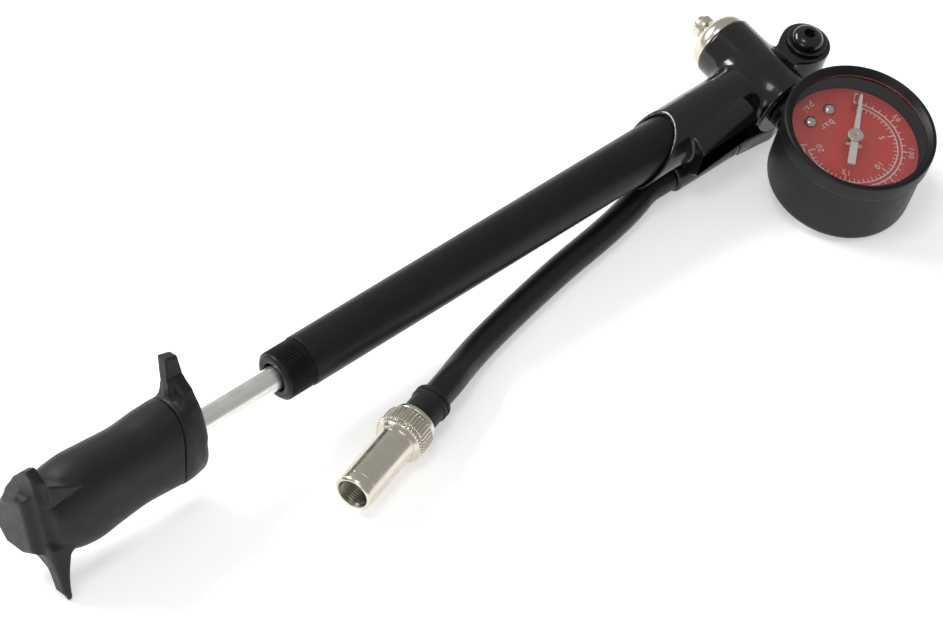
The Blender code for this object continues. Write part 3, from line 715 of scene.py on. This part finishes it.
def head(p):
    """Collar, neck, hose boss, cross tube and swivel lug in one moulding, with the bores cut in."""
    x, y, z = p[:, 0], p[:, 1], p[:, 2]
    collar = round_bar(p, 0, (0, 0), 8.7, 100, 168, 0.5)
    slope = 17.0 / 17.4
    lean = 3.5 / 8.7
    slant = (131.0 + slope * z + lean * y - x) / math.sqrt(1 + slope**2 + lean**2)
    collar = -join(-collar, -slant, 0.35)
    boss = np.hypot(y + 7.2, z - 0.4 - 0.15 * (x - 152.0)) - (6.9 - 0.03 * (x - 152.0))
    boss = -join(-boss, 163.0 - x, 0.7)
    boss = -join(-boss, x - 141.5, 0.7)
    boss = np.maximum(boss, -8.2 - z)
    tube = round_bar(p, 1, (TUBE_X, 0), TUBE_R, -11.0, 16.4, 0.45)
    neck = round_bar(p, 0, (0, 0), 8.5, 150, 180, 0.5)
    body = join(collar, neck, 0.6)
    body = join(body, boss, 0.9)
    body = join(body, tube, 3.4)
    eye = np.hypot(x - PIVOT[0], y - PIVOT[1]) - 7.5
    root = polygon(x, y, [(176.0, 13.5), (184.5, 12.5), (184.5, -8.5), (176.0, -9.0)])
    lug = extrude(join(eye, root, 9.0), z, -9.6, 6.0, 0.5)
    body = join(body, lug, 0.8)
    gap_y, gap_z = y + 4.9, z - ARM_Z
    reach = np.hypot(gap_y, gap_z)
    clip = np.maximum(np.abs(reach - 6.05) - 0.65, np.abs(x - 133.5) - 3.5)
    clip = np.maximum(clip, -(gap_y + 0.55 + np.minimum(gap_z, 0)))
    body = join(body, clip, 0.8)
    body = cut(body, round_bar(p, 0, (0, 0), 7.72, 80, 152.3, 0.01), 0.12)
    body = cut(body, round_bar(p, 0, (0, 0), 3.4, 150, 166.5, 0.01))
    body = cut(body, round_bar(p, 1, (TUBE_X, 0), 5.0, -30, 30, 0.01))
    return cut(body, round_bar(p, 2, PIVOT[:2], 2.9, -30, 30, 0.01))


def arm(p):
    """The swivel arm: an eye under the lug and a round neck that runs back to the sleeve."""
    eye = round_bar(p, 2, PIVOT[:2], 7.5, -17.9, -10.2, 0.6)
    neck_line = [(195.5, 5.0), (195.5, -6.5), (178.0, -10.4), (165.0, -9.2), (165.0, -0.2), (176.0, 0.4)]
    neck = extrude(polygon(p[:, 0], p[:, 1], neck_line), p[:, 2], -17.9, -10.2, 1.5)
    body = join(eye, neck, 1.5)
    block = round_bar(p, 0, (ARM_Y, ARM_Z), 4.8, 164.5, 169.0, 0.8)
    body = join(body, block, 1.0)
    body = np.maximum(body, 164.5 - p[:, 0])
    return cut(body, round_bar(p, 2, PIVOT[:2], 2.3, -16.5, 0, 0.01))


def make_head(mats):
    body = sculpted(
        "moulded_head", head, (117, -12.5, -21), (204.5, 19.5, 12), 0.32, PUMP, mats["gloss_black"],
    )
    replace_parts(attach(body, "pump"), "pump_head")
    swivel = sculpted(
        "hose_swivel_arm", arm, (163, -11, -19.5), (204.5, 9.5, -9), 0.42, PUMP, mats["gloss_black"],
    )
    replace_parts(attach(swivel, "hose_arm"), "swivel_arm")

    sleeve_profile = [
        (SLEEVE_START, 0, 0),
        (SLEEVE_START, 4.3, 0.3),
        (SLEEVE_START + 0.3, 5.2, 0.5),
        (161.3, 5.2, 0.2),
        (161.45, 5.0, 0.1),
        (161.8, 5.0, 0.1),
        (161.95, 5.2, 0.2),
        (SLEEVE_END, 5.2, 0.6),
        (SLEEVE_END, 3.3, 0),
        (151.5, 3.3, 0),
        (151.5, 0, 0),
    ]
    sleeve = turned(
        "gloss_sleeve", rounded(sleeve_profile, 0.2), (0, ARM_Y, ARM_Z), ALONG_X, mats["gloss_black"],
    )
    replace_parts(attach(sleeve, "hose_arm"), "hose_sleeve")

    washer_profile = [(6.3, 2.9, 0), (6.3, 6.0, 0.2), (7.1, 6.0, 0.25), (7.1, 4.9, 0.1), (7.0, 2.9, 0)]
    washer = turned("screw_washer", rounded(washer_profile, 0.1), PIVOT, ALONG_Z, mats["gloss_black"])
    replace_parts(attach(washer, "hose_arm"), "swivel_washer")

    crown = [(-15.8, 0), (-15.8, 2.0), (7.4, 2.0), (7.4, 4.5), (7.5, 4.68)]
    for i in range(13):
        share = i / 12
        crown.append((7.8 + 2.4 * math.sin(share * 1.25) / math.sin(1.25), 4.7 * math.cos(share * 1.12)))
    hexagon = 1.85

    def socket(along, angle):
        phase = (angle % (math.pi / 3)) - math.pi / 6
        return hexagon * (math.cos(math.pi / 6) / math.cos(phase)) - hexagon

    crown += [(10.2, hexagon, 1.0), (8.3, hexagon, 1.0), (8.3, 0)]
    screw = turned("socket_screw", crown, PIVOT, ALONG_Z, mats["gloss_black"], 96, socket, 40)
    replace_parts(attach(screw, "hose_arm"), "swivel_screw")


def make_bleed_valve(mats):
    nickel = mats["nickel"]
    # The crown starts at dome_rim and ends where the button's cap still clears it when pressed
    dome_rim = 17.5
    dome_top = 21.9
    crown_height = 4.3
    crown_centre = 4.6
    crown_r = 4.7
    crown_steps = 15
    crown_turn = math.radians(77.4)
    dome = [(3.0, 2.0), (3.0, 4.7), (16.7, 4.7), (16.7, 8.8), (16.9, 9.15), (dome_rim, 9.3)]
    for i in range(1, crown_steps):
        angle = crown_turn * i / crown_steps
        dome.append(
            (dome_rim + crown_height * math.sin(angle), crown_centre + crown_r * math.cos(angle)),
        )
    dome += [(dome_top, 4.9), (dome_top, 2.0), (21.0, 2.0), (21.0, 3.4), (6.0, 3.4), (6.0, 2.0)]
    body = turned("nickel_dome", dome, (TUBE_X, 0, 0), ALONG_Y, nickel)
    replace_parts(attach(body, "pump"), "bleed_valve_body")
    button_profile = [
        (-0.8, 0, 0),
        (-0.8, 2.9, 0.1),
        (1.0, 2.9, 0.1),
        (1.0, 1.5, 0),
        (18.2, 1.5, 0),
        (18.2, 2.9, 0.1),
        (19.4, 2.9, 0.1),
        (19.4, 1.6, 0),
        (23.5, 1.6, 0),
        (23.5, 3.5, 0.15),
        (25.9, 3.5, 0.35),
        (25.9, 2.4, 0.1),
        (27.2, 2.3, 0.5),
        (27.3, 0, 0),
    ]
    button = turned("nickel_button", rounded(button_profile, 0.1), (TUBE_X, 0, 0), ALONG_Y, nickel, 64)
    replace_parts(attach(button, "bleed_button"), "bleed_button")


# ---------------------------------------------------------------- gauge


def make_gauge(mats):
    case_profile = [
        (-7.5, 0, 0),
        (-7.5, 21.0, 1.6),
        (-6.0, 21.6, 1.0),
        (2.0, 21.75, 2.0),
        (12.6, 21.6, 0.5),
        (16.2, 21.5, 0),
        (16.2, 20.3, 0.2),
        (-6.0, 20.3, 0.2),
        (-6.0, 0, 0),
    ]
    case = turned(
        "gauge_shell", rounded(case_profile, 0.3, 5), GAUGE, ALONG_Z, mats["black_anodised"], 160,
    )
    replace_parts(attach(case, "pump"), "gauge_case")
    bezel_profile = [
        (12.9, 21.85, 0),
        (12.9, 22.3, 0.2),
        (13.3, 22.6, 0.3),
        (18.4, 22.65, 0.7),
        (18.75, 21.8, 0.4),
        (18.55, 21.3, 0.3),
        (17.05, 20.0, 0.2),
        (16.95, 20.0, 0),
        (16.95, 21.85, 0),
    ]
    bezel = turned(
        "rolled_bezel", rounded(bezel_profile, 0.2, 5), GAUGE, ALONG_Z, mats["black_anodised"], 160,
    )
    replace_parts(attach(bezel, "pump"), "gauge_bezel")
    lens_profile = [(LENS_Z, 0, 0), (LENS_Z, 20.2, 0.1), (LENS_Z + 1.0, 20.2, 0.1), (LENS_Z + 1.0, 0, 0)]
    lens = turned("clear_lens", rounded(lens_profile, 0.1), GAUGE, ALONG_Z, mats["lens"], 128)
    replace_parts(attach(lens, "pump"), "gauge_lens")
    stem = turned(
        "gauge_neck",
        rounded(
            [
                (-20.2, 0.8, 0),
                (-20.2, 3.6, 0.2),
                (-14.5, 3.6, 0),
                (-14.5, 6.2, 0.3),
                (-11.3, 6.2, 0.3),
                (-11.3, 4.7, 0),
                (-5.5, 4.7, 0.2),
                (-5.5, 0.8, 0),
            ],
            0.2,
        ),
        (TUBE_X, 0, 0),
        ALONG_Y,
        mats["gloss_black"],
        64,
    )
    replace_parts(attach(stem, "pump"), "gauge_stem")


FULL_SCALE_PSI = 300
ZERO_ANGLE = 38.5
DEGREES_PER_PSI = 250.5 / FULL_SCALE_PSI
PSI_PER_BAR = 14.504


def scale_angle(psi):
    return math.radians(ZERO_ANGLE - DEGREES_PER_PSI * psi)


def arc_band(radius, half, start, end, steps):
    """Flat ring sector as a list of small quads, from one scale value to another."""
    quads = []
    for i in range(steps):
        a = scale_angle(start + (end - start) * i / steps)
        b = scale_angle(start + (end - start) * (i + 1) / steps)
        quads.append(
            [
                (r * math.cos(t), r * math.sin(t))
                for r, t in (
                    (radius - half, a), (radius + half, a), (radius + half, b), (radius - half, b),
                )
            ]
        )
    return quads


def tick(psi, low, high, half):
    angle = scale_angle(psi)
    along = Vector((math.cos(angle), math.sin(angle)))
    across = Vector((-along.y, along.x))
    corners = ((low, -half), (high, -half), (high, half), (low, half))
    return [tuple(along * r + across * side) for r, side in corners]


def word(name, text, size, at, up, mat):
    """Flat raised lettering on the dial, centred at a point, with its top towards up."""
    curve = bpy.data.curves.new(name, "FONT")
    curve.body = text
    curve.size = size
    curve.align_x = "CENTER"
    curve.align_y = "CENTER"
    curve.extrude = 0.02
    curve.resolution_u = 4
    curve.space_character = 1.2
    obj = bpy.data.objects.new(name + "_text", curve)
    bpy.context.collection.objects.link(obj)
    depsgraph = bpy.context.evaluated_depsgraph_get()
    mesh = bpy.data.meshes.new_from_object(obj.evaluated_get(depsgraph))
    bpy.data.objects.remove(obj)
    top = Vector((up[0], up[1], 0)).normalized()
    side = Vector((top.y, -top.x, 0))
    turn = Matrix((side, top, Vector((0, 0, 1)))).transposed().to_4x4()
    place = Matrix.Translation(Vector((WORKS[0] + at[0], WORKS[1] + at[1], DIAL_Z + 0.04)))
    mesh.transform(PUMP @ place @ turn)
    mesh.materials.clear()
    mesh.materials.append(mat)
    piece = bpy.data.objects.new(name, mesh)
    bpy.context.collection.objects.link(piece)
    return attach(piece, "pump")


def make_dial(mats):
    red = mats["red_dial"]
    profile = [
        (DIAL_Z - 0.5, 1.6, 0), (DIAL_Z - 0.5, 19.1, 0.1), (DIAL_Z, 19.1, 0.15), (DIAL_Z, 1.6, 0.1),
    ]
    dial = turned("printed_dial", rounded(profile, 0.1), WORKS, ALONG_Z, red, 128)
    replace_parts(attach(dial, "pump"), "gauge_dial")
    white = mats["white_paint"]
    outer, inner = 14.4, 13.15
    marks = arc_band(outer, 0.16, 0, FULL_SCALE_PSI, 120)
    marks += arc_band(inner, 0.16, 0, 20 * PSI_PER_BAR, 120)
    for psi in range(0, FULL_SCALE_PSI + 1, 10):
        long = psi % 50 == 0
        marks.append(tick(psi, outer, outer + (1.6 if long else 1.1), 0.15 if long else 0.11))
    for step in range(41):
        bar = step / 2
        long = step % 10 == 0
        reach = 2.1 if long else (1.3 if step % 2 == 0 else 0.9)
        marks.append(tick(bar * PSI_PER_BAR, inner - reach, inner, 0.15 if long else 0.10))
    marks.append(tick(FULL_SCALE_PSI, inner, outer, 0.16))
    scale = prisms("dial_scale", marks, DIAL_Z + 0.01, DIAL_Z + 0.05, WORKS, white)
    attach(scale, "pump")
    for psi in range(50, FULL_SCALE_PSI, 50):
        angle = scale_angle(psi)
        up = (math.cos(angle), math.sin(angle))
        at = (up[0] * 17.0, up[1] * 17.0)
        word("dial_psi_" + str(psi), str(psi), 2.3, at, up, white)
    for bar, radius in ((5, 9.2), (10, 9.8), (15, 10.2), (20, 9.6)):
        angle = scale_angle(bar * PSI_PER_BAR)
        up = (math.cos(angle), math.sin(angle))
        at = (up[0] * radius, up[1] * radius)
        word("dial_bar_" + str(bar), str(bar), 2.5, at, up, white)
    word("dial_unit_psi", "psi", 3.0, (-1.7, 16.0), (0, -1), white)
    word("dial_unit_bar", "bar", 3.0, (-1.3, 8.6), (0, -1), white)

    stop_line = [
        (7.6, 8.8),
        (8.3, 8.0),
        (8.8, 8.4),
        (8.5, 9.0),
        (10.5, 10.6),
        (10.9, 10.1),
        (11.4, 10.5),
        (10.8, 11.3),
    ]
    stop = prisms("zero_stop_fork", [stop_line], DIAL_Z + 0.05, NEEDLE_Z + 0.3, WORKS, mats["brass"])
    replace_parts(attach(stop, "pump"), "zero_stop")
    for number, (x, y) in enumerate(((2.5, 12.1), (-5.1, 11.9)), start=1):
        profile = [(DIAL_Z + 0.05, 0), (DIAL_Z + 0.05, 1.85)]
        for i in range(12):
            angle = math.radians(90 * i / 12)
            profile.append((DIAL_Z + 0.2 + 1.3 * math.sin(angle), 1.9 * math.cos(angle)))
        profile.append((DIAL_Z + 1.5, 0))
        piece = turned(
            "rivet_" + str(number), profile, (WORKS[0] + x, WORKS[1] + y, 0), ALONG_Z, mats["steel"], 48,
        )
        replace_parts(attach(piece, "pump"), "dial_screw_" + str(number))


def make_needle(mats):
    point = math.radians(ZERO_ANGLE)
    along = Vector((math.cos(point), math.sin(point)))
    across = Vector((-along.y, along.x))

    def outline(half_shape):
        left = [along * u + across * v for u, v in half_shape]
        right = [along * u - across * v for u, v in reversed(half_shape)]
        return [(q.x, q.y) for q in left + right]

    pointer = outline([(15.5, 0.25), (15.2, 0.4), (2.0, 0.85)])
    tail = outline([(-1.8, 0.95), (-2.6, 1.05), (-10.3, 1.15), (-10.6, 1.0)])
    blades = prisms(
        "needle_blades", [pointer, tail], NEEDLE_Z, NEEDLE_Z + 0.4, WORKS, mats["white_paint"],
    )
    hub_profile = [
        (NEEDLE_Z - 0.2, 0, 0),
        (NEEDLE_Z - 0.2, 2.35, 0.1),
        (NEEDLE_Z + 0.75, 2.4, 0.25),
        (NEEDLE_Z + 0.8, 0.75, 0.1),
        (NEEDLE_Z + 0.65, 0.6, 0.1),
        (NEEDLE_Z + 0.65, 0.35, 0.05),
        (NEEDLE_Z + 0.25, 0.35, 0),
        (NEEDLE_Z + 0.25, 0, 0),
    ]
    hub = turned("needle_hub", rounded(hub_profile, 0.1), WORKS, ALONG_Z, mats["nickel"], 64)
    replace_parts(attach(blades, "needle"), "needle")
    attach(hub, "needle")
    counter = []
    for side in (-1, 1):
        centre = along * -3.1 + across * (side * 1.75)
        turns = np.linspace(0, 6.0, 14)
        counter.append([(centre.x + 0.7 * math.cos(a), centre.y + 0.7 * math.sin(a)) for a in turns])
    weights = prisms("needle_weights", counter, NEEDLE_Z - 0.9, NEEDLE_Z - 0.25, WORKS, mats["brass"])
    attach(weights, "needle")


# ---------------------------------------------------------------- hose and chuck


def smooth_route(points, spacing):
    """Points at even spacing along a smooth curve through the route's points."""
    knots = [Vector(point) for point in points]
    knots = [2 * knots[0] - knots[1], *knots, 2 * knots[-1] - knots[-2]]
    fine = []
    for a, b, c, d in zip(knots, knots[1:], knots[2:], knots[3:]):
        for i in range(20):
            t = i / 20
            pull = (2 * b) + (c - a) * t + (2 * a - 5 * b + 4 * c - d) * t**2
            fine.append(0.5 * (pull + (3 * b - a - 3 * c + d) * t**3))
    fine.append(knots[-2])
    total = sum((b - a).length for a, b in zip(fine, fine[1:]))
    count = round(total / spacing)
    route = [fine[0]]
    run = 0.0
    for a, b in zip(fine, fine[1:]):
        run += (b - a).length
        if run >= total * len(route) / count and len(route) < count:
            route.append(b)
    route.append(fine[-1])
    return route


def make_hose(mats, far_pieces):
    start = SLEEVE_START - GAP
    end = BOOT_END + GAP
    route = [
        (start, ARM_Y, ARM_Z),
        (start - 4.5, ARM_Y, ARM_Z),
        (start - 9.0, ARM_Y - 0.1, ARM_Z),
        (121.3, -7.0, -13.65),
        (108.3, -9.4, -13.3),
        (90.7, -11.8, -12.8),
        (77.1, -14.1, -12.4),
        (63.2, -16.8, -11.8),
        (51.3, -19.5, -11.1),
        (42.0, -22.4, -9.3),
        tuple(CHUCK_AT - CHUCK_DIRECTION * (end + 9.0)),
        tuple(CHUCK_AT - CHUCK_DIRECTION * (end + 4.0)),
        tuple(CHUCK_AT - CHUCK_DIRECTION * end),
    ]
    line = bpy.data.curves.new("rubber_hose", "CURVE")
    line.dimensions = "3D"
    line.bevel_depth = HOSE_R * MM
    line.bevel_resolution = 12
    line.use_fill_caps = True
    spline = line.splines.new("POLY")
    points = [PUMP @ point for point in smooth_route(route, 3.6)]
    spline.points.add(len(points) - 1)
    for knot, point in zip(spline.points, points):
        knot.co = (*point, 1.0)
    line.materials.append(mats["hose_rubber"])
    hose = bpy.data.objects.new("rubber_hose", line)
    bpy.context.collection.objects.link(hose)
    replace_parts(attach(hose, "hose_arm"), "hose")


def paint_inside(piece, at, direction, radius, mat):
    """Give the faces nearer to an axis than a radius a material of their own."""
    piece.data.materials.append(mat)
    back = PUMP.inverted()
    for face in piece.data.polygons:
        reach = back @ face.center - Vector(at)
        reach -= direction * reach.dot(direction)
        if reach.length < radius:
            face.material_index = 1


def make_chuck(mats):
    nickel = mats["nickel"]
    boot_profile = [
        (-BOOT_END, 0, 0),
        (-BOOT_END, 4.7, 0.3),
        (-15.1, 5.6, 0.35),
        (-14.1, 5.6, 0.35),
        (-13.9, 5.1, 0.1),
        (-13.6, 5.1, 0.1),
        (-13.4, 5.6, 0.35),
        (-12.4, 5.6, 0.35),
        (-12.1, 5.15, 0.15),
        (-5.5, 5.2, 0.3),
        (-5.5, 2.3, 0),
        (-13.0, 2.3, 0),
        (-13.0, 0, 0),
    ]
    boot = turned("ribbed_boot", rounded(boot_profile, 0.2), CHUCK_AT, CHUCK_DIRECTION, mats["rubber"])
    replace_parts(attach(boot, "hose_arm"), "hose_boot")
    core_profile = [
        (-12.5, 0.9, 0),
        (-12.5, 1.9, 0.1),
        (-5.2, 1.9, 0),
        (-5.2, 6.6, 0.4),
        (-4.9, 6.9, 0.2),
        (-3.9, 6.9, 0.2),
        (-3.6, 6.5, 0.1),
        (-3.6, 2.2, 0),
        (8.4, 2.2, 0),
        (8.4, 3.7, 0.2),
        (9.8, 3.7, 0.3),
        (9.8, 0.9, 0),
    ]
    core = turned("flanged_core", rounded(core_profile, 0.1), CHUCK_AT, CHUCK_DIRECTION, nickel)
    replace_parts(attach(core, "hose_arm"), "chuck_core")

    ridges = 44
    pitch = 0.794
    knurl = saw(ridges)

    def shape(along, angle):
        if along > 5.0:
            phase = (along / pitch - angle / (2 * math.pi)) % 1.0
            return abs(2 * phase - 1)
        return knurl(along, angle)

    depth = 0.45
    nut = [
        (-3.2, 2.5), (-3.2, 6.2), (-3.15, 6.6), (-3.0, 6.9),
        (-2.95, 7.35, 0.5 * depth), (-2.7, 7.5, depth),
    ]
    nut += [
        (1.5, 7.5, depth), (1.7, 7.2, 0.5 * depth), (1.75, 6.85), (2.05, 6.85), (2.1, 7.1, 0.5 * depth),
    ]
    nut += [(2.3, 7.35, depth), (2.8, 7.3, depth), (3.0, 7.0), (3.1, 6.75), (3.5, 6.6), (4.1, 6.55)]
    nut += [(4.4, 6.3), (4.5, 5.9), (4.8, 5.65), (5.2, 5.6), (22.5, 5.6)]
    nut += [(22.6, 5.45), (22.8, 5.45), (22.9, 5.6), (25.0, 5.6), (25.5, 5.5), (25.85, 5.25)]
    nut += [(26.0, 4.95), (25.9, 4.55), (25.4, 4.2), (25.0, 4.0)]
    turns = 9
    for i in range(turns * 6):
        nut.append((24.9 - pitch * i / 6, 4.12, -0.42))
    nut += [(17.4, 4.15), (8.0, 4.15), (8.0, 2.5)]
    piece = turned("knurled_nut", nut, CHUCK_AT, CHUCK_DIRECTION, nickel, ridges * 8, shape, 32)
    # The faces inside the nut's bore get the dark metal: painted shade in the bore
    paint_inside(piece, CHUCK_AT, CHUCK_DIRECTION, 4.45, mats["bore_painted_shade"])
    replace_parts(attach(piece, "chuck_nut"), "chuck_nut")
    return [boot, core, piece, frame["nodes"]["depressor_pin"], frame["nodes"]["chuck_seal"]]


# ---------------------------------------------------------------- what the CAD already shapes


def dress_cad(mats):
    """Every CAD node gets the worked material of its slot."""
    slots = {part["node"]: part["material_slot"] for part in frame["record"]["subparts"]}
    for name, node in frame["nodes"].items():
        node.data.materials.clear()
        node.data.materials.append(mats[slots[name]])


# ---------------------------------------------------------------- studio


CAMERA_AT = (-453.72, -354.04, 818.25)
CAMERA_RIGHT = (0.73895, -0.64753, 0.18618)
CAMERA_UP = (0.45743, 0.68504, 0.56700)
FOCAL = 140.92


def area(name, at, target, size, power, shape="RECTANGLE", size_y=None):
    light = bpy.data.lights.new(name, "AREA")
    light.shape = shape
    light.size = size
    light.size_y = size_y or size
    light.energy = power
    obj = bpy.data.objects.new(name, light)
    bpy.context.collection.objects.link(obj)
    obj.location = at
    obj.rotation_euler = (Vector(target) - Vector(at)).to_track_quat("-Z", "Y").to_euler()
    return obj


def make_studio():
    camera_data = bpy.data.cameras.new("camera")
    camera_data.lens = FOCAL
    camera_data.sensor_width = 36.0
    camera_data.clip_end = 20.0
    camera = bpy.data.objects.new("camera", camera_data)
    bpy.context.collection.objects.link(camera)
    right = (PUMP.to_3x3() @ Vector(CAMERA_RIGHT)).normalized()
    up = (PUMP.to_3x3() @ Vector(CAMERA_UP)).normalized()
    back = right.cross(up).normalized()
    up = back.cross(right)
    turn = Matrix((right, up, back)).transposed().to_4x4()
    camera.matrix_world = Matrix.Translation(PUMP @ Vector(CAMERA_AT)) @ turn
    bpy.context.scene.camera = camera
    bpy.context.scene.view_settings.view_transform = "Standard"

    floor_mesh = bpy.data.meshes.new("floor")
    half = 6.0
    corners = [(-half, -half, 0), (half, -half, 0), (half, half, 0), (-half, half, 0)]
    floor_mesh.from_pydata([(x, y, -0.0003) for x, y, _ in corners], [], [(0, 1, 2, 3)])
    nodes = Nodes("pale_floor")
    shade = nodes.tint(nodes.noise(3.0), (0.93, 0.93, 0.93), (0.95, 0.95, 0.95))
    nodes.join(shade, nodes.shader.inputs["Base Color"])
    nodes.shader.inputs["Roughness"].default_value = 0.9
    nodes.shader.inputs["Emission Color"].default_value = (1, 1, 1, 1)
    nodes.shader.inputs["Emission Strength"].default_value = 0.42
    floor_mesh.materials.append(nodes.material)
    floor = bpy.data.objects.new("floor", floor_mesh)
    bpy.context.collection.objects.link(floor)

    world = bpy.data.worlds.new("studio")
    bpy.context.scene.world = world
    world.use_nodes = True
    world.node_tree.nodes["Background"].inputs["Color"].default_value = (1, 1, 1, 1)
    world.node_tree.nodes["Background"].inputs["Strength"].default_value = 0.42
    area("key_light", (-0.35, 0.85, 0.75), (0.0, 0.0, 0.0), 0.7, 9.5, "RECTANGLE", 0.22)
    area("fill_light", (-1.0, -0.3, 0.5), (0.0, 0.0, 0.0), 0.45, 1.6)
    area("top_light", (-0.3, -0.1, 1.3), (0.0, 0.0, 0.0), 0.35, 2.4)


mats = make_materials()
dress_cad(mats)
make_studio()
make_barrel(mats)
make_handle(mats)
make_head(mats)
make_bleed_valve(mats)
make_gauge(mats)
make_dial(mats)
make_needle(mats)
make_hose(mats, make_chuck(mats))
